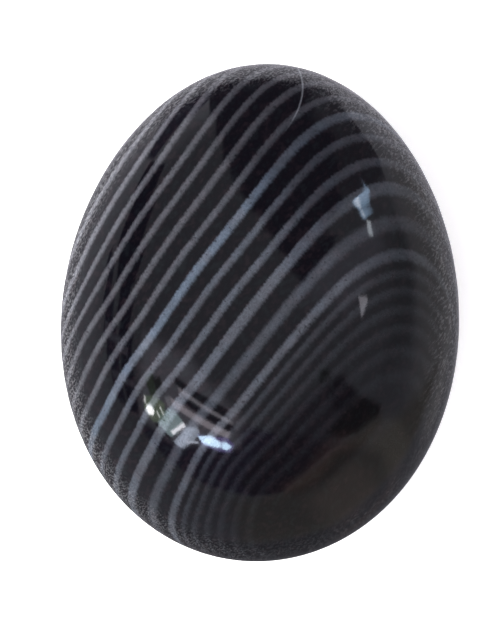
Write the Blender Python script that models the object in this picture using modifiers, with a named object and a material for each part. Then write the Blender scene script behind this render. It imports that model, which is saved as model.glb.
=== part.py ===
"""Sulemani agate: one oval polished stone with a high dome above and a low rounded back below.

Units are metres. +Z points up through the dome and +Y runs along the stone, towards its narrower end.
The origin is the middle of the small flat spot on the back, which the stone rests on.
"""

import math

import bpy

MM = 0.001

# Driving dimensions of the stone
WIDTH = 20.0 * MM
LENGTH = 25.0 * MM
DOME_HEIGHT = 5.0 * MM
BACK_DEPTH = 2.6 * MM
FLAT_SPOT_SHARE = 0.45

# How full each curve is. The dome is round at 2 and squarer in the shoulder above 2.
DOME_FULLNESS = 2.3
BACK_FULLNESS = 1.9
GIRDLE_SOFTNESS = 1.5

# The narrower end is narrower than the middle by this share, and the wider end wider by as much.
TAPER = 0.0515

# Facets
TURN_STEPS = 80
DOME_ROWS = 16
BACK_ROWS = 10
MERGE_DISTANCE = 0.000001
SMOOTH_ANGLE = math.radians(30)

# The finish: near black with a high polish
STONE_COLOUR = (0.035, 0.036, 0.041, 1.0)
STONE_ROUGHNESS = 0.08
STONE_METALLIC = 0.0
STONE_IOR = 1.54


def clear_scene():
    """Remove every object that the file opened with."""
    for thing in list(bpy.data.objects):
        bpy.data.objects.remove(thing, do_unlink=True)


def polished_agate():
    """The polished black stone."""
    material = bpy.data.materials.new("polished_agate")
    material.use_nodes = True
    shader = material.node_tree.nodes["Principled BSDF"]
    shader.inputs["Base Color"].default_value = STONE_COLOUR
    shader.inputs["Roughness"].default_value = STONE_ROUGHNESS
    shader.inputs["Metallic"].default_value = STONE_METALLIC
    shader.inputs["IOR"].default_value = STONE_IOR
    return material


def widest_reach():
    """The widest half-breadth of the tapered oval, as a share of the untapered one.

    The half-breadth at v along the stone is (1 - TAPER v) sqrt(1 - v v), and it is widest
    where its slope is zero: 2 TAPER v v - v - TAPER = 0.
    """
    v = (1.0 - math.sqrt(1.0 + 8.0 * TAPER * TAPER)) / (4.0 * TAPER)
    return (1.0 - TAPER * v) * math.sqrt(1.0 - v * v)


def dome_points(radius):
    """The dome's curve from the top down to the girdle: height = DOME_HEIGHT sqrt(1 - r^fullness)."""
    points = []
    for row in range(DOME_ROWS + 1):
        angle = math.pi / 2 * row / DOME_ROWS
        reach = math.sin(angle) ** (2.0 / DOME_FULLNESS)
        points.append((radius * reach, BACK_DEPTH + DOME_HEIGHT * math.cos(angle)))
    return points


def back_points(radius):
    """The back's curve from just under the girdle in to the rim of the flat spot."""
    points = []
    for row in range(BACK_ROWS - 1, -1, -1):
        angle = math.pi / 2 * row / BACK_ROWS
        reach = math.sin(angle) ** (2.0 / BACK_FULLNESS)
        depth = math.cos(angle) ** (2.0 / GIRDLE_SOFTNESS)
        share = FLAT_SPOT_SHARE + (1.0 - FLAT_SPOT_SHARE) * reach
        points.append((radius * share, BACK_DEPTH * (1.0 - depth)))
    return points


def stone_profile():
    """Half of the stone's section, from the top of the dome down its outer side to the middle of the flat spot."""
    radius = WIDTH / 2 / widest_reach()
    points = dome_points(radius) + back_points(radius)
    points[0] = (0.0, BACK_DEPTH + DOME_HEIGHT)
    points.append((0.0, 0.0))
    return points


def turned(name, points, steps):
    """A profile of (radius, height) points, turned about the vertical axis."""
    mesh = bpy.data.meshes.new(name)
    vertices = [(radius, 0.0, height) for radius, height in points]
    edges = [(i, i + 1) for i in range(len(points) - 1)]
    mesh.from_pydata(vertices, edges, [])
    thing = bpy.data.objects.new(name, mesh)
    screw = thing.modifiers.new("turn", "SCREW")
    screw.axis = "Z"
    screw.steps = steps
    screw.render_steps = steps
    screw.use_merge_vertices = True
    screw.merge_threshold = MERGE_DISTANCE
    screw.use_smooth_shade = True
    return thing


def as_mesh_object(source, collection):
    """A plain mesh object with the source's modifiers worked into its mesh."""
    name = source.name
    collection.objects.link(source)
    bpy.context.view_layer.update()
    graph = bpy.context.evaluated_depsgraph_get()
    mesh = bpy.data.meshes.new_from_object(source.evaluated_get(graph))
    bpy.data.objects.remove(source, do_unlink=True)
    mesh.name = name
    thing = bpy.data.objects.new(name, mesh)
    collection.objects.link(thing)
    return thing


def shape_to_egg(mesh):
    """Stretch the round stone along Y to its length, and taper it: x is multiplied by 1 - TAPER v."""
    radius = WIDTH / 2 / widest_reach()
    for vertex in mesh.vertices:
        v = vertex.co.y / radius
        vertex.co.x *= 1.0 - TAPER * v
        vertex.co.y = v * LENGTH / 2
    mesh.update()


def make_agate(collection):
    """The whole stone: turned round, then stretched and tapered to the oval of its outline."""
    stone = as_mesh_object(turned("agate", stone_profile(), TURN_STEPS), collection)
    shape_to_egg(stone.data)
    stone.data.shade_smooth()
    stone.data.set_sharp_from_angle(angle=SMOOTH_ANGLE)
    stone.data.materials.append(polished_agate())
    return stone


clear_scene()
parts = bpy.data.collections.new("sulemani_agate")
bpy.context.scene.collection.children.link(parts)
make_agate(parts)
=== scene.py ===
# %% [markdown]
# # A polished sulemani agate
#
# The object is one stone: a black agate with pale grey layers, cut as an oval with a high dome and polished.
# The solid model gives its size and place. This lesson makes its fine surface and, above all, the inside of
# the stone: the layers are a pattern in space, so they match on the dome, round the girdle and on the back.

# %% Load the solid model
import math

import bpy
import numpy as np
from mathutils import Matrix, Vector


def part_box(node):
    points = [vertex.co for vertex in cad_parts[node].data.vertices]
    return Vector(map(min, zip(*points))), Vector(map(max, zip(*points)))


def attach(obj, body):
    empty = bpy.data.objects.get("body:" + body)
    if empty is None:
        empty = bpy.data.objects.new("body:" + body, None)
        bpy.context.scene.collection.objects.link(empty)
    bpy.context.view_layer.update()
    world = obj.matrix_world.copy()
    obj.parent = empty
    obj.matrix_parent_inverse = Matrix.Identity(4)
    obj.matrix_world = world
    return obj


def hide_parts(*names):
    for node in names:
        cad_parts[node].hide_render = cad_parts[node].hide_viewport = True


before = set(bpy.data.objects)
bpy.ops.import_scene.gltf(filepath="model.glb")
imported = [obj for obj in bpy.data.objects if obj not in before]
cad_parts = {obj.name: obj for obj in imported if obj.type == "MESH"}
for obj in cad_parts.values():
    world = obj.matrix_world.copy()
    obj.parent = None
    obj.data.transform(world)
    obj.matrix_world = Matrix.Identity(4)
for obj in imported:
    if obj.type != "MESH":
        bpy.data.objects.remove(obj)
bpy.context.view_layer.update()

MM = 0.001
low, high = (np.array(corner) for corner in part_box("agate"))
width, length, height = high - low
print("solid model, mm:", np.round((high - low) / MM, 2))

# %% [markdown]
# ## The shape
#
# A cutter grinds the stone against a template of the outline and then rounds it to a dome. A subdivided cage
# could be pushed into that shape, but the outline and the dome both follow simple curves, so here the whole
# skin is worked out from two parameters: the way round the stone, and the way down from the top of the dome,
# over the girdle and in to the flat spot underneath. The numbers are the ones that the solid model was made to.

# %% The curves of the stone
BACK_DEPTH = 2.6 * MM
DOME_FULLNESS = 2.3
BACK_FULLNESS = 1.9
GIRDLE_SOFTNESS = 1.5
FLAT_SPOT_SHARE = 0.45
TAPER = 0.0515

dome_height = height - BACK_DEPTH
# The width (1 - TAPER v) times the root of (1 - v v) is greatest where 2 TAPER v v - v - TAPER = 0
widest_v = (1.0 - math.sqrt(1.0 + 8.0 * TAPER**2)) / (4.0 * TAPER)
half_width = width / 2 / ((1.0 - TAPER * widest_v) * math.sqrt(1.0 - widest_v**2))
half_length = length / 2
print("dome and back, mm:", round(dome_height / MM, 2), round(BACK_DEPTH / MM, 2))


def egg(reach, turn):
    """The oval outline, shrunk to a share of its size.

    v = reach times the sine of the turn, and y = v half lengths.
    x = reach times the cosine of the turn half widths, narrowed by the share TAPER v.
    """
    v = reach * np.sin(turn)
    x = half_width * reach * np.cos(turn) * (1.0 - TAPER * v)
    return x, half_length * v


def dome_curve(angle):
    """Reach is the sine of the angle to the power 2 / fullness, and height falls with its cosine."""
    return np.sin(angle) ** (2.0 / DOME_FULLNESS), BACK_DEPTH + dome_height * np.cos(angle)


def back_curve(angle):
    """From the girdle (a right angle) in to the flat spot (zero): a squarer curve with a softened edge.

    Reach rises from the flat spot's share to 1 with the sine to the power 2 / fullness. The height is the depth
    of the back, times 1 minus the cosine to the power 2 / softness.
    """
    reach = FLAT_SPOT_SHARE + (1.0 - FLAT_SPOT_SHARE) * np.sin(angle) ** (2.0 / BACK_FULLNESS)
    return reach, BACK_DEPTH * (1.0 - np.cos(angle) ** (2.0 / GIRDLE_SOFTNESS))


# %% [markdown]
# ## Formulas as nodes
#
# The layers are a formula in x, y and z. Math nodes can hold any formula, but adding them one by one is hard to
# read. The small class below lets a socket be used like a number: every +, - or * adds the node that does it.


# %% A socket that can be used in a formula
class Wire:
    """A number in a node tree. Arithmetic on it adds Math nodes and gives the wire of their result."""

    def __init__(self, tree, socket):
        self.tree = tree
        self.socket = socket

    def math(self, operation, *others):
        """Add a Math node that works on this wire and the others, which may be wires or plain numbers."""
        node = self.tree.nodes.new("ShaderNodeMath")
        node.operation = operation
        self.tree.links.new(self.socket, node.inputs[0])
        for place, other in enumerate(others, start=1):
            if isinstance(other, Wire):
                self.tree.links.new(other.socket, node.inputs[place])
            else:
                node.inputs[place].default_value = other
        return Wire(self.tree, node.outputs[0])

    def __add__(self, other):
        return self.math("ADD", other)

    def __sub__(self, other):
        return self.math("SUBTRACT", other)

    def __mul__(self, other):
        return self.math("MULTIPLY", other)

    def __truediv__(self, other):
        return self.math("DIVIDE", other)

    def __rsub__(self, other):
        return self * -1.0 + other

    __radd__ = __add__
    __rmul__ = __mul__

    def ramp(self, start, end, low=0.0, high=1.0):
        """A smooth step from low at start to high at end, flat outside."""
        node = self.tree.nodes.new("ShaderNodeMapRange")
        node.interpolation_type = "SMOOTHSTEP"
        self.tree.links.new(self.socket, node.inputs["Value"])
        for name, value in (("From Min", start), ("From Max", end), ("To Min", low), ("To Max", high)):
            node.inputs[name].default_value = value
        return Wire(self.tree, node.outputs["Result"])


def node_of(tree, kind, **inputs):
    """Add a node of a kind, with the inputs given by name set to a value or linked to a wire."""
    node = tree.nodes.new(kind)
    for name, value in inputs.items():
        if isinstance(value, Wire):
            tree.links.new(value.socket, node.inputs[name])
        else:
            node.inputs[name].default_value = value
    return node


def parts_of(tree, vector):
    """The wires of the three parts of a vector."""
    parts = tree.nodes.new("ShaderNodeSeparateXYZ")
    tree.links.new(vector, parts.inputs["Vector"])
    return [Wire(tree, parts.outputs[axis]) for axis in "XYZ"]


# %% [markdown]
# Formulas are built from two shapes: a smooth step, and a band, which is a step up and a step down. Both also work
# on numpy arrays, because the skin needs the same formula as the material.


# %% Steps and bands, for wires and for arrays
def wave(value):
    """The sine of a wire or of an array."""
    return value.math("SINE") if isinstance(value, Wire) else np.sin(value)


def step(value, start, end):
    """A smooth step from 0 at start to 1 at end: 3 s s - 2 s s s, for the share s of the way."""
    if isinstance(value, Wire):
        return value.ramp(start, end)
    share = np.clip((value - start) / (end - start), 0, 1)
    return share * share * (3 - 2 * share)


def band(value, start, full, still, end):
    """A smooth step up from start to full, times a smooth step down from still to end."""
    return step(value, start, full) * step(value, end, still)


print("a band from 0 to 3, at 0.5, 1.5 and 2.5:", band(np.array([0.5, 1.5, 2.5]), 0, 1, 2, 3))

# %% [markdown]
# ## Where a point lies in the layers
#
# Agate grows as thin layers on the wall of a hollow, so near one spot they are almost flat sheets. The cutter
# sawed this stone on a slant, and the dome cuts each sheet along a curve. Close to the lower right the dome is
# level with the sheets, and there the curves close into rings. One number F, in millimetres, says how deep in
# the stack of sheets a point lies. It starts as the distance along the line across the layers, it grows with
# height because the sheets lean, and small terms bend, fan and ripple them.

# %% The place in the stack of layers
ACROSS_ANGLE = -0.677       # the line across the layers, turned from +X, radians
MIDDLE_HEIGHT = BACK_DEPTH / MM + 2.5      # half way up the dome, which is 5 mm high
LEAN = 0.873
LEAN_BY_HEIGHT = -0.064
FAN_ACROSS = 0.068
FAN_ALONG = 0.034
SWING = -0.021
BEND = -0.010
RIPPLE = 0.018
RIPPLE_TURN = 0.52
RIPPLE_START = -0.534
TWIST = 0.060
TWIST_CENTRE = 1.0
TWIST_DEPTHS = (-7.4, -9.8)
KINK = 0.21
KINK_ALONG = (-9.2, -6.6, -6.6, -3.8)
KINK_DEPTHS = (-8.2, -6.8)
STEP_BACK = 0.11
STEP_BACK_ALONG = (-1.0, 3.0)
STEP_BACK_DEPTHS = (-6.0, -4.2, 0.2, 1.2)


def stack_depth(across, along, up):
    """F = across + up (lean + its change with height, and the fan) + swing, bend and ripple.

    Three small shifts follow. The first sheets, near the wall of the hollow, are twisted against the others, one
    soft kink runs across the sheets near their lower left end, and the middle ones step back at their other end.
    """
    lean = up * LEAN_BY_HEIGHT + across * FAN_ACROSS + along * FAN_ALONG + LEAN
    ripple = wave(along * RIPPLE_TURN + RIPPLE_START) * RIPPLE
    sheets = across * (ripple + along * SWING + across * BEND + 1.0) + up * lean
    twist = (along - TWIST_CENTRE) * TWIST * step(sheets, *TWIST_DEPTHS)
    kink = band(along, *KINK_ALONG) * step(sheets, *KINK_DEPTHS) * KINK
    back = step(along, *STEP_BACK_ALONG) * band(sheets, *STEP_BACK_DEPTHS) * STEP_BACK
    return sheets + twist + kink - back


def place_mm(tree):
    """The wires of the place on the piece in millimetres: across the layers, along them, up from mid-dome."""
    place = node_of(tree, "ShaderNodeTexCoord")
    turned = tree.nodes.new("ShaderNodeMapping")
    turned.inputs["Scale"].default_value = (1 / MM,) * 3
    turned.inputs["Rotation"].default_value = (0, 0, -ACROSS_ANGLE)
    turned.inputs["Location"].default_value = (0, 0, -MIDDLE_HEIGHT)
    tree.links.new(place.outputs["Object"], turned.inputs["Vector"])
    return parts_of(tree, turned.outputs["Vector"])


def place_of_points(points):
    """The same three numbers for an array of points in metres."""
    x, y, z = np.moveaxis(points / MM, -1, 0)
    across = x * math.cos(ACROSS_ANGLE) + y * math.sin(ACROSS_ANGLE)
    along = y * math.cos(ACROSS_ANGLE) - x * math.sin(ACROSS_ANGLE)
    return across, along, z - MIDDLE_HEIGHT


dome_top = np.array([0.0, 0.0, height])
print("F at the top of the dome, mm:", round(float(stack_depth(*place_of_points(dome_top))), 2))

# %% [markdown]
# ## The list of layers
#
# Each layer has a depth in the stack, a thickness and a paleness. They could be drawn one by one, but a stone grows
# by rules, and so does this list: each broad layer is a little further from the last than that one was, and a little
# thicker. Some stand out: a bright bluish one, another broad pale one, and two thick soft ones, of which the second
# is sharper. Then come fine layers, closer and fainter, until the stone is plain black.

# %% The list of layers, by their rules
BROAD_FROM = -6
BROAD_TO = 10
FIRST_DEPTH = -11.15
FIRST_STEP = 1.08
STEP_GROWTH = 0.0155
BROAD_THICK = 0.31
THICK_GROWTH = 0.012
BROAD_PALE = 0.080
PALER_AT_FIRST = 0.042
FIRST_NUMBERS = (0, 4)
PALER_AT_LAST = 0.008
LAST_NUMBERS = (4, 9)
BRIGHT_NUMBER = 7
BROADEST_NUMBER = 10
FINE_COUNT = 6
FINE_DEPTH = 4.73
FINE_STEP = 0.63
FINE_PALE = 0.031
FINE_FADING = 0.74


def one_layer(depth, thick, pale, rise=0.20, fall=0.34):
    """One layer: its place in the stack, how thick and how pale it is, and how wide its two edges are, in mm."""
    return {"depth": depth, "thick": thick, "pale": pale, "rise": rise, "fall": fall}


layers = []
for number in range(BROAD_FROM, BROAD_TO + 1):
    depth = FIRST_DEPTH + FIRST_STEP * number + STEP_GROWTH * number**2
    pale = BROAD_PALE + PALER_AT_FIRST * (1 - step(number, *FIRST_NUMBERS))
    pale = pale + PALER_AT_LAST * step(number, *LAST_NUMBERS)
    layers.append(one_layer(depth, BROAD_THICK + THICK_GROWTH * number, pale))
layers[BRIGHT_NUMBER - BROAD_FROM].update(thick=0.50, pale=0.128)
layers[BROADEST_NUMBER - BROAD_FROM].update(thick=0.60, pale=0.096)
layers.append(one_layer(depth=2.74, thick=0.56, pale=0.064, rise=0.34, fall=0.42))
layers.append(one_layer(depth=4.02, thick=0.42, pale=0.084, rise=0.24, fall=0.30))
for number in range(FINE_COUNT):
    depth = FINE_DEPTH + FINE_STEP * number
    layers.append(one_layer(depth, thick=0.28, pale=FINE_PALE * FINE_FADING**number, rise=0.2, fall=0.3))
print(len(layers), "layers, from", round(layers[0]["depth"], 2), "to", round(layers[-1]["depth"], 2), "mm")

# %% [markdown]
# ## The skin
#
# Polishing leaves a trace of the layers in the shape as well. The pale ones are softer and wear into shallow
# grooves, and the black stone between them is left as low cushions a hundredth of a millimetre high. They can't be
# seen as such, but they break up every reflection. A bump in the material could fake them, but they are long and
# smooth, so they are made in the mesh.

# %% The relief of the layers
CUSHION_DEPTH = 0.0100 * MM
HOLLOW_DEPTH = 0.0110 * MM
PALE_ENOUGH = 0.05
CUSHION_DEPTHS = (-2.4, -4.4)
HOLLOW_DEPTHS = (-4.4, -2.8, 1.8, 2.7)
HOLLOW_ALONG = (-2.5, -0.5)


def relief(depth, along):
    """How far a point of the skin lies inside the plain curve, in metres.

    Between the middles of two layers, with u the share of the way from one to the next, the profile (2 u - 1)
    squared is 0 midway and 1 at the layers. Near the wall it is taken as it is, which leaves cushions. Further
    in, towards the narrower end, 1 minus it is taken, which leaves shallow hollows between the layers.
    """
    middles = np.array([layer["depth"] for layer in layers if layer["pale"] > PALE_ENOUGH])
    after = np.clip(np.searchsorted(middles, depth), 1, len(middles) - 1)
    u = np.clip((depth - middles[after - 1]) / (middles[after] - middles[after - 1]), 0, 1)
    profile = (2 * u - 1) ** 2
    cushion = profile * step(depth, *CUSHION_DEPTHS)
    hollow = (1 - profile) * band(depth, *HOLLOW_DEPTHS) * step(along, *HOLLOW_ALONG)
    return CUSHION_DEPTH * cushion + HOLLOW_DEPTH * hollow


print("cushions and hollows, micrometres:", round(CUSHION_DEPTH / MM * 1000), round(HOLLOW_DEPTH / MM * 1000))

# %% [markdown]
# The mesh is a stack of rings. Blender's own sphere could be scaled into it, but its points crowd at the poles and
# are few at the girdle, where the curve turns over. Here the rows crowd towards the girdle by themselves, because
# the angle of the dome's curve steps evenly.


# %% A closed skin from rings of points
def closed_skin(name, rings, top, bottom):
    """Rings of points (rings x turns x 3) from the top down, joined by quads and closed by a fan at each end.

    Going down a ring and then round it keeps the faces outwards.
    """
    count, turns, _ = rings.shape
    points = np.concatenate([rings.reshape(-1, 3), [top, bottom]])
    here = np.arange(turns)
    there = np.roll(here, -1)
    rows = turns * np.arange(count - 1)[:, None]
    quads = np.stack([rows + here, rows + turns + here, rows + turns + there, rows + there], axis=-1)
    last = turns * (count - 1)
    top_fan = np.stack([np.full(turns, turns * count), here, there], axis=-1)
    bottom_fan = np.stack([np.full(turns, turns * count + 1), last + there, last + here], axis=-1)
    corners = np.concatenate([quads.ravel(), top_fan.ravel(), bottom_fan.ravel()])
    sizes = np.concatenate([np.full(quads[..., 0].size, 4), np.full(2 * turns, 3)])
    mesh = bpy.data.meshes.new(name)
    mesh.vertices.add(len(points))
    mesh.vertices.foreach_set("co", points.ravel())
    mesh.loops.add(len(corners))
    mesh.loops.foreach_set("vertex_index", corners)
    mesh.polygons.add(len(sizes))
    mesh.polygons.foreach_set("loop_start", np.cumsum(sizes) - sizes)
    mesh.update(calc_edges=True)
    mesh.validate()
    mesh.shade_smooth()
    thing = bpy.data.objects.new(name, mesh)
    bpy.context.scene.collection.objects.link(thing)
    print(name, "has", int((sizes - 2).sum()), "triangles")
    return thing


# %% The stone's skin
TURNS = 560
DOME_RINGS = 128
BACK_RINGS = 36
FLAT_RINGS = 12

dome_reach, dome_z = dome_curve(np.linspace(0, np.pi / 2, DOME_RINGS + 1)[1:])
back_reach, back_z = back_curve(np.linspace(np.pi / 2, 0, BACK_RINGS + 1)[1:])
flat_reach = np.linspace(FLAT_SPOT_SHARE, 0, FLAT_RINGS + 1)[1:-1]
reach = np.concatenate([dome_reach, back_reach, flat_reach])
level = np.concatenate([dome_z, back_z, np.zeros(len(flat_reach))])
turn = np.linspace(0, 2 * np.pi, TURNS, endpoint=False)
x, y = egg(reach[:, None], turn[None, :])
rings = np.stack([x, y, np.broadcast_to(level[:, None], x.shape)], axis=-1)

# The relief is sunk towards the middle of the stone, and fades out on the back
across, along, up = place_of_points(rings)
sunk = relief(stack_depth(across, along, up), along) * step(rings[..., 2], 0, BACK_DEPTH / 2)
middle = np.array([0, 0, BACK_DEPTH])
inwards = (middle - rings) / np.linalg.norm(middle - rings, axis=-1, keepdims=True)
rings += inwards * sunk[..., None]
stone = closed_skin("agate_skin", rings, (0, 0, height), (0, 0, 0))
print("deepest point of the relief, micrometres:", round(float(sunk.max() / MM * 1000), 1))

# %% [markdown]
# ## The finish
#
# Black agate takes a glassy polish. Its layers could be a picture wrapped round the stone, but that would stretch at
# the girdle and wouldn't match inside. Here every mark is a formula of the place in the stone, on Object
# coordinates, so it is as sharp on the back as on the dome. The marks are made of noise and of sums of colours.


# %% Noise, vectors and colours
def noise(tree, where, scale, detail=2.0, rough=0.5):
    """A noise from 0 to 1, its grains about 1 / scale millimetres across."""
    node = node_of(tree, "ShaderNodeTexNoise", Scale=scale, Detail=detail, Roughness=rough)
    tree.links.new(where, node.inputs["Vector"])
    return Wire(tree, node.outputs["Fac"])


def combine(tree, x, y, z):
    """A vector from three wires."""
    return node_of(tree, "ShaderNodeCombineXYZ", X=x, Y=y, Z=z).outputs["Vector"]


def put(tree, colour, socket):
    """Give a socket a colour, which is another socket or three numbers."""
    if isinstance(colour, tuple):
        socket.default_value = colour
    else:
        tree.links.new(colour, socket)


def scaled(tree, colour, amount):
    """A colour times a wire."""
    node = tree.nodes.new("ShaderNodeVectorMath")
    node.operation = "SCALE"
    put(tree, colour, node.inputs[0])
    tree.links.new(amount.socket, node.inputs["Scale"])
    return node.outputs[0]


def added(tree, first, second):
    """The sum of two colours."""
    node = tree.nodes.new("ShaderNodeVectorMath")
    node.operation = "ADD"
    put(tree, first, node.inputs[0])
    put(tree, second, node.inputs[1])
    return node.outputs[0]


def blended(tree, first, second, share):
    """A colour between a first one and a second one, which is three numbers, at a share of the way."""
    node = tree.nodes.new("ShaderNodeMix")
    node.data_type = "RGBA"
    put(tree, (*first, 1.0) if isinstance(first, tuple) else first, node.inputs["A"])
    node.inputs["B"].default_value = (*second, 1.0)
    tree.links.new(share.socket, node.inputs["Factor"])
    return node.outputs["Result"]


# %% [markdown]
# Every mark asks where a point lies: how deep in the stack, how far along the layers, how near the girdle. Each mark
# could work that out again, but every node costs time in the render. So the wires are made once, and the marks
# share them.

# %% The place of a point, for all the marks
SPECK_SCALE = 9.0
X_OF_ACROSS = 0.78          # the model's X, from the place across and along the layers
X_OF_ALONG = 0.63


class Spot:
    """The wires of a point of the stone: its place in millimetres, its depth in the stack and its reach."""

    def __init__(self, tree):
        self.tree = tree
        self.across, self.along, self.up = place_mm(tree)
        self.where = combine(tree, self.across, self.along, self.up)
        self.depth = stack_depth(self.across, self.along, self.up)
        self.rightwards = self.across * X_OF_ACROSS + self.along * X_OF_ALONG
        self.reach = self.rim_reach()
        self.fine = self.noise(SPECK_SCALE, detail=3.0, rough=0.7)

    def own_axes(self):
        """The wires of the place along the model's own X, Y and Z, in metres."""
        return parts_of(self.tree, node_of(self.tree, "ShaderNodeTexCoord").outputs["Object"])

    def rim_reach(self):
        """How far out towards the girdle a point lies, from 0 at the middle to 1 at the girdle.

        It undoes the egg: v = y / half length, u = x / half width / (1 - TAPER v), and reach is the root of
        u u + v v.
        """
        x, y, _ = self.own_axes()
        v = y / half_length
        u = x / half_width / (1.0 - v * TAPER)
        return (u * u + v * v).math("SQRT")

    def noise(self, scale, **kind):
        """A noise with round grains."""
        return noise(self.tree, self.where, scale, **kind)

    def streaks(self, stretch, **kind):
        """A noise with stretched grains: so many to the millimetre across, along and up."""
        vector = combine(self.tree, self.across * stretch[0], self.along * stretch[1], self.up * stretch[2])
        return noise(self.tree, vector, 1.0, **kind)


print("half width and half length, mm:", round(half_width / MM, 2), round(half_length / MM, 2))

# %% [markdown]
# ### The pale layers
#
# A pale layer is chalcedony with tiny pores, which scatter light. Each could be a thin solid sheet cut to shape, but
# their edges wander and are ragged, because the stone grew as fibres, and a formula with noise does that better. A
# layer is speckled and pitted, one is bluer than the others, and they are duller towards the wider end and near the
# rim on the right. Towards the narrower end, and in one corner there, they are darkened by painted shade: less light
# falls there, and the dome mirrors the dark wedge of the room.

# %% How pale the stone is
PALE_TINT = (1.00, 1.00, 1.06)
BLUE_TINT = (0.80, 0.98, 1.18)
WANDER = 0.08
WANDER_SCALE = 0.35
BLUE_SCALE = 0.55
RAGGED = 0.24
FIBRES = (3.0, 9.0, 9.0)
BRIGHT_LAYER_DEPTH = layers[BRIGHT_NUMBER - BROAD_FROM]["depth"]

# Ramps: where they start and end, and their values there
BLUE_NEAR_BRIGHT_LAYER = (0.5, 0.4, 0.0, 0.55)
BLUE_BY_DEPTH = (-5.0, -2.5, 0.1, 0.55)
BLUE_PATCHES = (0.42, 0.58, 0.6, 1.0)


def paleness(depth):
    """The sum over the layers of a soft-edged step up and a step down, times how pale each layer is.

    The edge towards the wall of the hollow is crisp and the other one fades, so rise is shorter than fall.
    """
    total = depth * 0.0
    for layer in layers:
        start = layer["depth"] - layer["thick"] / 2
        end = layer["depth"] + layer["thick"] / 2
        up = depth.ramp(start - layer["rise"] / 2, start + layer["rise"] / 2, 0.0, layer["pale"])
        total = total + up * depth.ramp(end - layer["fall"] / 2, end + layer["fall"] / 2, 1.0, 0.0)
    return total


def ragged_paleness(spot):
    """The paleness at a depth that a slow noise shifts, so that edges wander, and a fibrous one makes ragged."""
    wander = (spot.noise(WANDER_SCALE) - 0.5) * WANDER
    ragged = (spot.streaks(FIBRES, detail=3.0, rough=0.6) - 0.5) * RAGGED
    return paleness(spot.depth + wander + ragged)


def layer_tint(spot):
    """Grey before the bright layer, bluer after it and bluest in it, in patches."""
    near_bright = (spot.depth - BRIGHT_LAYER_DEPTH).math("ABSOLUTE").ramp(*BLUE_NEAR_BRIGHT_LAYER)
    bluish = near_bright + spot.depth.ramp(*BLUE_BY_DEPTH)
    return blended(spot.tree, PALE_TINT, BLUE_TINT, spot.noise(BLUE_SCALE).ramp(*BLUE_PATCHES) * bluish)


print("the bluish layer lies at a depth of, mm:", round(float(BRIGHT_LAYER_DEPTH), 2))

# %% Where the layers are duller or in painted shade, and their colour
# painted shade: the layers darken towards the narrower end, where less light falls
PAINTED_SHADE_NARROW_END = (1.5, 7.5, 1.0, 0.70)
DULL_WIDE_END = (-6.5, -10.5, 1.0, 0.70)
DULL_RIM = (0.78, 0.96, 0.0, 0.5)
DULL_RIM_SIDE = (3.0, 8.0)
# painted shade in one corner near the narrower end, where the dome mirrors the dark wedge
PAINTED_SHADE_CORNER = (4.0, 5.8, 0.0, 0.28)
PAINTED_SHADE_CORNER_SIDE = (-6.5, -4.0)
CLOUDED_SCALE = 1.1
CLOUDED = (0.25, 0.75, 0.88, 1.12)
SPECKLED = (0.35, 0.65, 0.84, 1.16)
PIT_SCALE = 6.0
PITTED = (0.24, 0.37, 0.45, 1.0)


def dullness_and_painted_shade(spot):
    """The share of its paleness that a layer keeps: less at both ends, on the right rim and in one corner.

    The loss towards the narrower end and in the corner is painted shade, where less light falls and the dome mirrors
    the dark wedge.
    """
    # painted shade: the ramp to the narrower end and the corner darken the layers; the rest is the stone's own
    ends = spot.along.ramp(*PAINTED_SHADE_NARROW_END) * spot.along.ramp(*DULL_WIDE_END)
    rim = spot.reach.ramp(*DULL_RIM) * spot.rightwards.ramp(*DULL_RIM_SIDE)
    corner = spot.along.ramp(*PAINTED_SHADE_CORNER) * spot.across.ramp(*PAINTED_SHADE_CORNER_SIDE)
    return ends * (1.0 - rim) * (1.0 - corner)


def layer_colour(spot, pale):
    """The tint, times how pale the stone is there, the speckle, the pits, and the share of paleness kept, partly
    painted shade.
    """
    speckle = spot.noise(CLOUDED_SCALE, detail=3.0).ramp(*CLOUDED) * spot.fine.ramp(*SPECKLED)
    pits = spot.noise(PIT_SCALE, detail=1.0).ramp(*PITTED)
    return scaled(spot.tree, layer_tint(spot), pale * speckle * pits * dullness_and_painted_shade(spot))


print("share of the paleness left at the two ends:", PAINTED_SHADE_NARROW_END[-1], DULL_WIDE_END[-1])

# %% [markdown]
# ### The black stone and its smoke
#
# The black between the layers isn't even: faint warm and cool clouds lie in it, where traces of other minerals are.
# In the middle of the rings, at the lower right, it is smoky, with a brown seam along the last layers and two pale
# veils beyond it. A volume could hold them, but a polished black stone shows hardly any depth, so they are colours
# on the skin, worked out from the same depth in the stack.

# %% Clouds and smoke
BLACK_COLOUR = (0.0012, 0.0012, 0.0032)
WARM_CLOUD = (0.0076, 0.0050, 0.0052)
COOL_CLOUD = (0.0036, 0.0050, 0.0048)
CLOUD_GRAINS = (2.6, 1.6, 2.0)
WARM_ABOVE = (0.48, 0.66)
COOL_BELOW = (0.50, 0.36)
CLOUDIER_IN_LAYERS = (3.0, 6.0, 1.35, 1.0)
DRIFT = 0.7
DRIFT_SCALE = 0.5
BROWN_SEAM = {"colour": (0.0110, 0.0062, 0.0044), "depth": (8.1, 8.55, 8.65, 9.1), "along": (-6.4, -5.0, -2.4, -0.8)}
OLIVE_VEIL = {"colour": (0.0170, 0.0155, 0.0125), "depth": (8.4, 8.8, 8.95, 9.35), "along": (-2.4, -0.7, 0.2, 1.8)}
PINK_VEIL = {"colour": (0.0120, 0.0090, 0.0078), "depth": (9.0, 9.35), "along": (-6.2, -4.6, -3.0, -1.4)}


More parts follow.
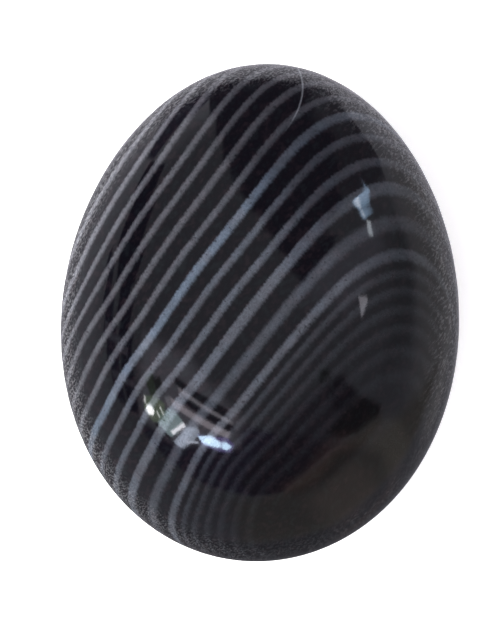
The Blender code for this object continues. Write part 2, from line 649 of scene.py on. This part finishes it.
def with_clouds(spot, colour):
    """The colour on black stone, with warm clouds where a noise is high and cool ones where it is low."""
    tree = spot.tree
    stains = spot.streaks(CLOUD_GRAINS, detail=4.0, rough=0.75)
    more = spot.depth.ramp(*CLOUDIER_IN_LAYERS)
    colour = added(tree, colour, BLACK_COLOUR)
    colour = added(tree, colour, scaled(tree, WARM_CLOUD, stains.ramp(*WARM_ABOVE) * more))
    return added(tree, colour, scaled(tree, COOL_CLOUD, stains.ramp(*COOL_BELOW) * more))


def with_smoke(spot, colour):
    """The colour with a seam and two veils, each a band of depths times a band of places along the layers."""
    drifting = spot.depth + (spot.noise(DRIFT_SCALE, detail=1.0) - 0.5) * DRIFT
    for smoke in (BROWN_SEAM, OLIVE_VEIL, PINK_VEIL):
        within = band if len(smoke["depth"]) == 4 else step
        share = within(drifting, *smoke["depth"]) * band(spot.along, *smoke["along"])
        colour = added(spot.tree, colour, scaled(spot.tree, smoke["colour"], share))
    return colour


print("the black stone:", BLACK_COLOUR, "and its brown seam:", BROWN_SEAM["colour"])

# %% [markdown]
# ### The healed crack
#
# One hair-fine crack has healed near the narrower end. A thin tube along a curve could show it, but a healed crack
# has no height, so it is a line in the colour: a point is on it when it is near a cubic curve seen from above.

# %% The healed crack
CRACK_COLOUR = (0.11, 0.115, 0.12)
CRACK_START = 9.0
CRACK_CURVE = (0.70, 0.615, -0.106, -0.0125)
CRACK_EDGE = (0.070, 0.015)
CRACK_WOBBLE = 0.05
CRACK_FADES_IN = (8.7, 10.4)
CRACK_ABOVE = (2.8, 3.6)


def healed_crack(spot):
    """1 on the crack, where |a + b w + c w w + d w w w - x| is small, with w = y - CRACK_START, in millimetres."""
    x, y, z = (place / MM for place in spot.own_axes())
    w = y - CRACK_START
    a, b, c, d = CRACK_CURVE
    gap = (w * (w * (w * d + c) + b) + a - x + (spot.fine - 0.5) * CRACK_WOBBLE).math("ABSOLUTE")
    return gap.ramp(*CRACK_EDGE) * y.ramp(*CRACK_FADES_IN) * z.ramp(*CRACK_ABOVE)


print("the crack crosses y =", CRACK_START, "mm at x =", CRACK_CURVE[0], "mm")

# %% [markdown]
# ### Frost, partly painted haze, and the polish
#
# The polishing wheel reaches the dome, but not quite the girdle, and the back is only ground. What is left there is
# a fine whitish frost, streaked along the layers. On the right rim it runs further up, as faint scratches. It could
# be made with roughness alone, but fine scratches also scatter light back, so it has a colour as well. At the girdle
# and up the right rim that whitish colour is also painted reflection: it stands in for the grainy haze that the rim
# mirrors, and it is stronger on the upper left, where the mirrored haze is brighter. Where the stone is frosted it
# is rougher and a little bumpy, and the pale layers are a bit less glassy than the black.

# %% Where the polish ends
# the frost colour is partly painted reflection: at the girdle and up the right rim it stands in for the mirrored
# haze
FROST_AND_PAINTED_HAZE_COLOUR = (0.130, 0.130, 0.130)
FROSTED_GRAINS = (0.40, 0.68)
BACK_FROST = 0.4
# the scratches up the right rim are partly painted reflection of the haze there
SCRATCHES = (9.0, 2.0, 5.0)
SCRATCHED_GRAINS = (0.46, 0.68)
SCRATCH_FROST_AND_PAINTED_HAZE = 0.60
SCRATCH_REACH = (0.80, 0.94)
SCRATCH_SIDE = (0.5, 4.0)
SCRATCH_ALONG = (-1.0, 6.0)
GRIT_GRAINS = (11.0, 5.0, 9.0)
EDGE_REACH = (0.88, 0.99)
# the frost is stronger to the upper left, where its painted haze is brighter
FROST_AND_PAINTED_HAZE_SIDE = (10.0, -3.0, 0.25, 1.0)
BACK_BELOW = (-2.6, -3.3)


class WearAndPaintedHaze:
    """The wires of the wear: the grit left by grinding, the girdle's edge, its stronger side, and the back.

    The stronger side, to the upper left, is also where the painted haze of the frost is brighter.
    """

    def __init__(self, spot):
        self.grit = spot.streaks(GRIT_GRAINS, detail=1.0)
        self.edge = spot.reach.ramp(*EDGE_REACH)
        self.side = spot.across.ramp(*FROST_AND_PAINTED_HAZE_SIDE)
        self.back = spot.up.ramp(*BACK_BELOW)
        self.worn = (self.edge + self.back).math("MINIMUM", 1.0)


def with_frost_and_painted_haze(spot, wear, colour):
    """The colour with frost: grit at the girdle and on the back, and scratches up the right rim.

    At the girdle and up the rim the whitish frost is partly painted reflection of the grainy haze that the rim
    mirrors.
    """
    frost = (wear.edge * wear.side + wear.back * BACK_FROST).math("MINIMUM", 1.0) * wear.grit.ramp(*FROSTED_GRAINS)
    right_rim = spot.reach.ramp(*SCRATCH_REACH) * spot.rightwards.ramp(*SCRATCH_SIDE)
    scratches = spot.streaks(SCRATCHES, detail=2.0, rough=0.6).ramp(*SCRATCHED_GRAINS)
    frost = frost + right_rim * spot.along.ramp(*SCRATCH_ALONG) * scratches * SCRATCH_FROST_AND_PAINTED_HAZE
    return added(spot.tree, colour, scaled(spot.tree, FROST_AND_PAINTED_HAZE_COLOUR, frost))


print("frost on the back, as a share of the girdle's:", BACK_FROST)

# %% The agate material
POLISH = 0.045
PALE_ROUGHNESS = 0.25
WORN_ROUGHNESS = 0.30
POLISH_BUMP = 0.0003        # millimetres, as the two below
WORN_BUMP = 0.004
EDGE_BUMP = 0.036
BACK_BUMP_SHARE = 0.3
BUMPY_REACH = (0.90, 0.97)
BUMPY_HEIGHT = (-2.9, -2.4)
REFRACTION = 1.54


def agate_material():
    """Black agate with pale layers, polished."""
    material = bpy.data.materials.new("polished_banded_agate")
    material.use_nodes = True
    tree = material.node_tree
    shader = tree.nodes["Principled BSDF"]
    spot = Spot(tree)
    wear = WearAndPaintedHaze(spot)

    pale = ragged_paleness(spot)
    colour = with_smoke(spot, with_clouds(spot, layer_colour(spot, pale)))
    colour = with_frost_and_painted_haze(spot, wear, colour)
    colour = added(tree, colour, scaled(tree, CRACK_COLOUR, healed_crack(spot)))
    tree.links.new(colour, shader.inputs["Base Color"])

    roughness = pale * PALE_ROUGHNESS + wear.worn * spot.fine * WORN_ROUGHNESS + POLISH
    tree.links.new(roughness.socket, shader.inputs["Roughness"])
    bumpy_edge = spot.reach.ramp(*BUMPY_REACH) * wear.side * spot.up.ramp(*BUMPY_HEIGHT)
    bumpy = bumpy_edge + wear.back * BACK_BUMP_SHARE
    height_mm = wear.grit * (bumpy * EDGE_BUMP + wear.worn * WORN_BUMP + POLISH_BUMP)
    bump = node_of(tree, "ShaderNodeBump", Height=height_mm, Distance=MM)
    tree.links.new(bump.outputs["Normal"], shader.inputs["Normal"])
    shader.inputs["IOR"].default_value = REFRACTION
    print("the agate material has", len(tree.nodes), "nodes")
    return material


stone.data.materials.append(agate_material())
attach(stone, "root")
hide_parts("agate")

# %% [markdown]
# ## The floor
#
# The photograph's ground is plain white, with hardly any shadow. A flat plane could be the floor, but from the side
# its far edge would show, so the floor curves up all round. It glows a little, as a light table does, which washes
# out the shadow. The polish doesn't mirror it: the lower half of the painted room further down stands in for it.

# %% A floor that curves up into a wall
FLOOR_RADIUS = 0.45
WALL_RADIUS = 0.95
WALL_HEIGHT = 0.12
FLAT_STEPS = 10
WALL_STEPS = 40
FLOOR_TURNS = 129
FLOOR_COLOUR = (0.87, 0.865, 0.82, 1.0)
FLOOR_ROUGHNESS = 0.9
FLOOR_GLOW = 0.56


def sweep_floor():
    """A disc out to FLOOR_RADIUS, and beyond it height = WALL_HEIGHT (share of the way out) squared."""
    flat = np.linspace(0, FLOOR_RADIUS, FLAT_STEPS)
    radius = np.concatenate([flat, np.linspace(FLOOR_RADIUS, WALL_RADIUS, WALL_STEPS)[1:]])
    share = np.clip((radius - FLOOR_RADIUS) / (WALL_RADIUS - FLOOR_RADIUS), 0, 1)
    turns = np.linspace(0, 2 * np.pi, FLOOR_TURNS)
    grid = np.stack([
        radius[:, None] * np.cos(turns),
        radius[:, None] * np.sin(turns),
        np.broadcast_to((WALL_HEIGHT * share**2)[:, None], (len(radius), len(turns))),
    ], axis=-1)
    rows, columns = grid.shape[:2]
    corner = (columns * np.arange(rows - 1)[:, None] + np.arange(columns - 1)).ravel()
    faces = np.stack([corner, corner + columns, corner + columns + 1, corner + 1], axis=-1)
    mesh = bpy.data.meshes.new("floor")
    mesh.from_pydata(grid.reshape(-1, 3).tolist(), [], faces.tolist())
    mesh.shade_smooth()
    thing = bpy.data.objects.new("floor", mesh)
    bpy.context.scene.collection.objects.link(thing)
    return thing


floor = sweep_floor()
paper = bpy.data.materials.new("pale_floor")
paper.use_nodes = True
surface = paper.node_tree.nodes["Principled BSDF"]
surface.inputs["Base Color"].default_value = FLOOR_COLOUR
surface.inputs["Roughness"].default_value = FLOOR_ROUGHNESS
surface.inputs["Emission Color"].default_value = (1.0, 1.0, 1.0, 1.0)
surface.inputs["Emission Strength"].default_value = FLOOR_GLOW
floor.data.materials.append(paper)
floor.visible_glossy = False
print("the floor has", len(floor.data.polygons), "faces")

# %% [markdown]
# ## The camera
#
# The photograph looks straight down, with the stone leaning a little to the right in the picture. The camera could
# be turned by eye, but the stone's width in the picture gives the size of a pixel, and that and the place of its
# middle give the rest. Pixels are counted from the upper left corner.

# %% Camera
ROLL = 0.0595
STONE_WIDE_PIXELS = 398.0
STONE_PIXEL = (260.2, 312.1)
CENTRE_PIXEL = (249.5, 312.0)
TALL_PIXELS = 625
DISTANCE = 0.150
SENSOR = 36.0
NEAREST = 0.01

pixel = width / STONE_WIDE_PIXELS
lens = bpy.data.cameras.new("camera")
lens.sensor_width = SENSOR
lens.lens = lens.sensor_width * DISTANCE / (TALL_PIXELS * pixel)
lens.clip_start = NEAREST
camera = bpy.data.objects.new("camera", lens)
bpy.context.scene.collection.objects.link(camera)
aside = (CENTRE_PIXEL[0] - STONE_PIXEL[0]) * pixel
above = (STONE_PIXEL[1] - CENTRE_PIXEL[1]) * pixel
camera.location = (
    aside * math.cos(ROLL) - above * math.sin(ROLL),
    aside * math.sin(ROLL) + above * math.cos(ROLL),
    BACK_DEPTH + DISTANCE,
)
camera.rotation_euler = (0, 0, ROLL)
bpy.context.scene.camera = camera
print("lens, mm:", round(lens.lens, 1), "- one pixel on the stone, mm:", round(pixel / MM, 4))

# %% [markdown]
# ## Light
#
# One big soft light stands on the left. It lights the pale layers and the floor. It could also be the light that
# the polish mirrors, but there the outlines of the mirrored things matter, so it is hidden from the polish, and
# what that mirrors is a room painted on the sky.

# %% The soft light
KEY_DISTANCE = 0.7
KEY_TILT = math.radians(48)
KEY_TURN = math.radians(190)
KEY_SIZE = 0.7
KEY_WATTS = 8.0

key = bpy.data.lights.new("soft_light", "AREA")
key.shape = "DISK"
key.size = KEY_SIZE
key.energy = KEY_WATTS
key_lamp = bpy.data.objects.new("soft_light", key)
bpy.context.scene.collection.objects.link(key_lamp)
key_lamp.location = (
    KEY_DISTANCE * math.sin(KEY_TILT) * math.cos(KEY_TURN),
    KEY_DISTANCE * math.sin(KEY_TILT) * math.sin(KEY_TURN),
    KEY_DISTANCE * math.cos(KEY_TILT),
)
key_lamp.rotation_euler = (0, KEY_TILT, KEY_TURN)
key_lamp.visible_glossy = False
key_lamp.visible_camera = False
print("the light stands at, m:", [round(place, 3) for place in key_lamp.location])

# %% [markdown]
# ## The room in the polish
#
# A polished dome mirrors the whole room in small: a pale ceiling, brighter walls, a dark wedge, a strip, some dark
# patches and small bright window panes. The room could be built of planes, but a mirrored edge then moves with the
# distance of its plane as well as with its size. So the room is painted on the sky, where only the direction of a
# ray counts: degrees from straight up, to the right and to the top of the picture. Each thing in it is a card, a
# convex outline with a soft edge, laid over what was there before. The outlines were read off the photograph and
# corrected by comparing renders with it.

# %% Directions, and a card
LEAST_LEVEL = 0.0001    # keeps the way straight up from a division by zero


def room_directions(tree):
    """Degrees from straight up, to the right and to the top of the photograph, of the way a ray looks.

    The tilt is the arc cosine of z, shared out over x and y as they stand to the root of x x + y y.
    """
    place = node_of(tree, "ShaderNodeTexCoord")
    turned = tree.nodes.new("ShaderNodeMapping")
    turned.inputs["Rotation"].default_value = (0, 0, -ROLL)
    tree.links.new(place.outputs["Generated"], turned.inputs["Vector"])
    x, y, z = parts_of(tree, turned.outputs["Vector"])
    tilt = z.math("ARCCOSINE") * math.degrees(1.0)
    level = (x * x + y * y).math("SQRT").math("MAXIMUM", LEAST_LEVEL)
    return x / level * tilt, y / level * tilt, tilt


def card(right, top, corners, soft):
    """1 inside a convex outline of corners given anticlockwise in degrees, fading to 0 over soft degrees.

    The distance to each edge, positive on its left, is (right, top) times the edge's normal, less a constant. The
    least of them says how far inside the outline a direction is.
    """
    inside = None
    for (x0, y0), (x1, y1) in zip(corners, corners[1:] + corners[:1]):
        size = math.hypot(x1 - x0, y1 - y0)
        nx, ny = (y0 - y1) / size, (x1 - x0) / size
        gap = right * nx + (top * ny - (x0 * nx + y0 * ny))
        inside = gap if inside is None else inside.math("MINIMUM", gap)
    return inside.ramp(-soft / 2, soft / 2)


def with_cards(tree, right, top, colour, cards):
    """Lay cards over a colour, one after the other: name, softness in degrees, light, corners."""
    for name, soft, shade, corners in cards:
        colour = blended(tree, colour, shade, card(right, top, corners, soft))
        colour.node.label = name
    return colour


# %% [markdown]
# The light comes first and the dark after it, because a card covers those before it. The big soft cards give the
# shades of the walls, and the sharp dark ones break them up. Each line holds a name, the softness of the edge in
# degrees, the light as red, green and blue, and the corners as degrees to the right and to the top.

# %% The cards of the room
CARDS = (
    ("light low on the right", 24, (1.27, 1.24, 1.28), [(68, -30), (110, -50), (120, 0), (110, 60), (66, 52)]),
    ("grey strip on the right", 10, (0.64, 0.64, 0.69),
     [(44, -14), (60, -8), (66, 14), (60, 26), (56, 30), (47, 8)]),
    ("warm light low on the right", 12, (0.87, 0.82, 0.76),
     [(-10, -52), (-8, -90), (40, -84), (80, -50), (93, -18)]),
    ("dark wedge at the top", 2, (0.29, 0.25, 0.34),
     [(-42, 98), (-40, 90), (-29, 67), (-14, 34), (-5, 22), (9, 4), (20, 14), (46, 56), (47, 72), (47, 96)]),
    ("its right wing", 2, (0.46, 0.42, 0.50), [(28, 27), (58, 41), (60.5, 48), (54, 62), (47, 76), (36, 72)]),
    ("lighter part of the wedge", 6, (0.56, 0.53, 0.62),
     [(24, 52), (44, 52), (48, 66), (48, 80), (46, 96), (30, 98)]),
    ("dark strip on the left", 2, (0.22, 0.19, 0.28),
     [(-60, 28), (-59.5, 18), (-54, 7), (-43.5, 8), (-43.2, 20), (-44.2, 36), (-44.8, 44), (-55.4, 49), (-58, 40)]),
    ("its lower part", 2, (0.24, 0.20, 0.30),
     [(-54, 8.5), (-52.4, -6), (-49.5, -24), (-43.5, -24), (-45.6, 8.5)]),
    ("dark strip further left", 2, (0.32, 0.28, 0.40),
     [(-67, 21), (-65.5, 5), (-62.5, -7), (-56, -22), (-51, -22), (-55, -3), (-62, 16), (-65, 22)]),
    ("ledge across it", 1, (0.90, 0.84, 1.0), [(-64, 1), (-62, -3), (-47, -9), (-47, -6)]),
    ("lower ledge", 1, (0.85, 0.80, 0.95), [(-60, -12), (-58, -15), (-43, -17), (-43, -15)]),
    ("strip to the top", 3, (0.42, 0.37, 0.52),
     [(-62.8, 65.6), (-61.7, 54), (-53.6, 49.3), (-47, 60), (-36, 78), (-34.5, 88), (-47.6, 90), (-58.6, 86)]),
    ("dark patch below", 3, (0.40, 0.34, 0.50),
     [(-45, -28), (-34, -37), (-19, -45), (-2, -48), (9, -46), (14, -38), (11, -25), (-4, -22)]),
    ("dark patch, right half", 3, (0.50, 0.45, 0.52), [(8, -42), (28, -31), (24, -13), (19, -12), (5, -22)]),
    ("its lower end", 2.5, (0.34, 0.28, 0.34),
     [(-6, -42), (-2, -48), (9, -47), (24, -32), (18, -28), (9, -24), (0, -30)]),
    ("small dark patch", 1.5, (0.36, 0.36, 0.34), [(15.4, -10), (16.7, -13.4), (20.2, -12.6), (18.4, -10.3)]),
    ("dark patch in the middle", 2, (0.31, 0.26, 0.31),
     [(19.8, -16.8), (28.6, -25), (31.1, -17.3), (24.7, -12.7), (21.7, -12.8)]),
    ("dark patch, far right", 2.5, (0.27, 0.24, 0.24),
     [(22, -26), (28, -29.5), (36.6, -29.5), (44.6, -26.4), (45, -23), (40.8, -21.2), (31.1, -17.3)]),
    ("brown edge", 6, (0.64, 0.57, 0.52), [(14, -50), (30, -43), (47, -29), (46, -26), (26, -33), (11, -46)]),
    ("light above the dark patches", 6, (1.16, 1.14, 1.30), [(8, 2), (26, 0), (46, 16), (40, 22), (24, 14)]),
)
print(len(CARDS), "cards for the room")

# %% [markdown]
# The window panes are small, sharp and many times brighter than the walls. They could be lamps, but lamps would
# also light the stone and the floor, and as cards they stay in their places between the others.

# %% The cards of the window panes
PANES = (
    ("light round the panes", 5, (1.7, 1.65, 1.85),
     [(-43, -24), (-30, -30), (-6, -28), (-4, -20), (-18, -8), (-38, -3)]),
    ("dark slat, high", 0.8, (0.34, 0.32, 0.38), [(-25, -11.6), (-24.6, -13.8), (-8, -20.5), (-8, -17.8)]),
    ("light slat, high", 0.6, (3.8, 3.6, 3.9), [(-24, -13.9), (-23.6, -15.3), (-7.4, -22.0), (-7, -20.8)]),
    ("dark slat, low", 0.8, (0.32, 0.28, 0.36), [(-23, -15.6), (-22.6, -17.8), (-6.8, -24.1), (-6.6, -22.1)]),
    ("light slat, low", 0.6, (5.2, 4.8, 5.2), [(-27.4, -16.9), (-27, -19), (-8.8, -25.9), (-8.2, -23.9)]),
    ("dark green card", 1.0, (0.80, 0.95, 0.70), [(-38.5, -12.5), (-36, -18.2), (-33, -17), (-34, -11.5)]),
    ("green round the spot", 1.0, (2.4, 2.9, 2.2),
     [(-40.5, -22), (-37, -25), (-32, -25), (-30, -19), (-34, -17.5), (-39.5, -18)]),
    ("teal pane", 0.8, (4.8, 5.8, 6.0),
     [(-34.8, -25), (-34.6, -28), (-29.1, -28.4), (-26.1, -26.4), (-23.2, -23.2), (-26.3, -20.2), (-28.7, -20)]),
    ("its shaded corner", 1.0, (3.0, 4.0, 3.4), [(-33, -22.6), (-32, -25.4), (-28.6, -23), (-29.6, -20.8)]),
    ("blue grey pane", 0.6, (6.4, 6.9, 8.0),
     [(-29, -29.8), (-26.5, -31.4), (-24.6, -31), (-20.6, -28.2), (-18, -25.2), (-18.6, -23.6), (-22.4, -24.2)]),
    ("dark corner beside the green", 1.0, (0.50, 0.50, 0.46),
     [(-34.4, -13), (-32.4, -17.4), (-29.4, -16.4), (-31, -12.4)]),
    ("dark edge under the teal pane", 0.6, (0.55, 0.52, 0.60),
     [(-36.5, -25.6), (-30.5, -29.4), (-29.6, -28.8), (-35, -25)]),
    ("grey bar above the teal pane", 0.6, (3.2, 3.2, 3.5),
     [(-30, -17.2), (-28.6, -19.6), (-26.8, -19), (-27.6, -16.6)]),
    ("small light on the left", 0.4, (12.0, 12.0, 12.0),
     [(-40.2, -19.8), (-39.4, -20.2), (-38.8, -18.2), (-39.6, -17.9)]),
    ("white spot", 0.5, (22.0, 22.0, 22.0),
     [(-39.7, -21.8), (-38.5, -23.3), (-36.1, -23), (-35.3, -21.6), (-36.6, -20.3), (-38.7, -20.3)]),
    ("white streak", 0.4, (12.0, 12.5, 12.0), [(-34.5, -21.6), (-33.6, -23.4), (-33, -23.1), (-33.9, -21.3)]),
    ("second streak", 0.4, (12.0, 12.5, 12.0), [(-32.7, -20.2), (-31.6, -22.4), (-31, -22.1), (-32.1, -19.9)]),
    ("small white bar", 0.4, (17.0, 17.0, 18.0), [(-29.4, -26.6), (-28.6, -27.6), (-22.8, -24), (-23.4, -23)]),
    ("violet fringe", 0.6, (2.6, 2.2, 4.4),
     [(-19, -25.8), (-18, -28.8), (-12, -30.4), (-8.4, -30.2), (-7.2, -27.6), (-9, -25.6)]),
    ("bright bar", 0.4, (15.0, 18.5, 22.0),
     [(-19, -26.2), (-17.6, -28.2), (-14.5, -29), (-11.5, -29), (-11.3, -27.2), (-14, -25.6)]),
    ("bright bar's end", 0.4, (14.0, 17.5, 21.0),
     [(-11.2, -29.2), (-9.6, -29.8), (-7.9, -28.2), (-9.6, -26.9), (-11, -27.3)]),
    ("white line", 0.3, (10.0, 10.5, 12.0), [(-23.6, -28.6), (-23.4, -29.3), (-19, -28.6), (-19, -27.9)]),
    ("tall pane on the right", 0.8, (4.3, 5.7, 7.4),
     [(33.6, 23.2), (36.2, 22.8), (42.2, 26.2), (44.4, 29.4), (43, 34), (41.1, 34), (34.2, 26.9)]),
    ("its bright corner", 0.8, (10.0, 11.0, 12.5), [(34.2, 23.4), (36.8, 23.6), (37.8, 26.4), (35.6, 27)]),
    ("small pane on the right", 0.8, (6.4, 6.8, 7.2), [(37.4, 22.8), (37.8, 17.4), (40.1, 17.6), (39.9, 22.6)]),
    ("smallest pane", 0.6, (4.6, 4.5, 4.9), [(29.6, 3.2), (30.6, -1.0), (31.2, -0.8), (33.8, 2.4), (33.6, 3.4)]),
)
PANE_REGIONS = (
    [(-48, 2), (-48, -34), (0, -34), (0, 2)],
    [(28, 36), (28, -3), (46, -3), (46, 36)],
)
print(len(PANES), "cards for the window panes")

# %% [markdown]
# Under the cards lies a plain gradient: the ceiling, the wall beyond it, brighter to the top of the picture, and the
# table below the horizon. One sky shader could hold it all, but each card costs time for every ray. So there are
# two, without the panes and with them, and a Mix Shader takes the second only near the panes.

# %% The gradient of the room
ROOM_TINT = (1.0, 0.985, 1.08)
LEAST_TILT = 1.0
CEILING = 0.82
WALL = (0.40, -0.08, 1.27)      # more light to the top, more to the right, and the light midway
TABLE = (0.72, -0.04, 1.24)
CEILING_TO_WALL = (50, 84)      # degrees from straight up, as the two below
WALL_TO_TABLE = (80, 100)
DARKER_BELOW = (96, 140, 1.0, 0.55)


def room_gradient(tree, right, top, tilt):
    """The light of the ceiling, then of the wall, then of the table, as the tilt grows.

    Each of the last two is its light midway, plus its first number times the share of the turn to the top, plus
    its second number times the share to the right.
    """
    turn_right = right / tilt.math("MAXIMUM", LEAST_TILT)
    turn_top = top / tilt.math("MAXIMUM", LEAST_TILT)
    wall, table = (turn_top * by_top + turn_right * by_right + base for by_top, by_right, base in (WALL, TABLE))
    horizon = (table - wall) * tilt.ramp(*WALL_TO_TABLE) + wall
    glow = ((horizon - CEILING) * tilt.ramp(*CEILING_TO_WALL) + CEILING) * tilt.ramp(*DARKER_BELOW)
    return scaled(tree, ROOM_TINT, glow)


# %% The world
REGION_SOFTNESS = 0.01

world = bpy.data.worlds.new("room")
bpy.context.scene.world = world
world.use_nodes = True
tree = world.node_tree
right, top, tilt = room_directions(tree)
room = with_cards(tree, right, top, room_gradient(tree, right, top, tilt), CARDS)
room_with_panes = with_cards(tree, right, top, room, PANES)

far_from_panes = tree.nodes["Background"]
tree.links.new(room, far_from_panes.inputs["Color"])
near_panes = tree.nodes.new("ShaderNodeBackground")
tree.links.new(room_with_panes, near_panes.inputs["Color"])
choice = tree.nodes.new("ShaderNodeMixShader")
left_region, right_region = (card(right, top, corners, REGION_SOFTNESS) for corners in PANE_REGIONS)
tree.links.new(left_region.math("MAXIMUM", right_region).socket, choice.inputs[0])
tree.links.new(far_from_panes.outputs[0], choice.inputs[1])
tree.links.new(near_panes.outputs[0], choice.inputs[2])
tree.links.new(choice.outputs[0], tree.nodes["World Output"].inputs["Surface"])
print("the room has", len(tree.nodes), "nodes")

# %% [markdown]
# ## The picture
#
# The photograph is high in contrast, with clear white and grey blacks. The usual view, made for films, would dull
# the white ground, so the plain one is used, and a gamma below 1 deepens the middle greys.

# %% The view
PICTURE_GAMMA = 0.75

bpy.context.scene.view_settings.view_transform = "Standard"
bpy.context.scene.view_settings.gamma = PICTURE_GAMMA
print("view and gamma:", bpy.context.scene.view_settings.view_transform, PICTURE_GAMMA)
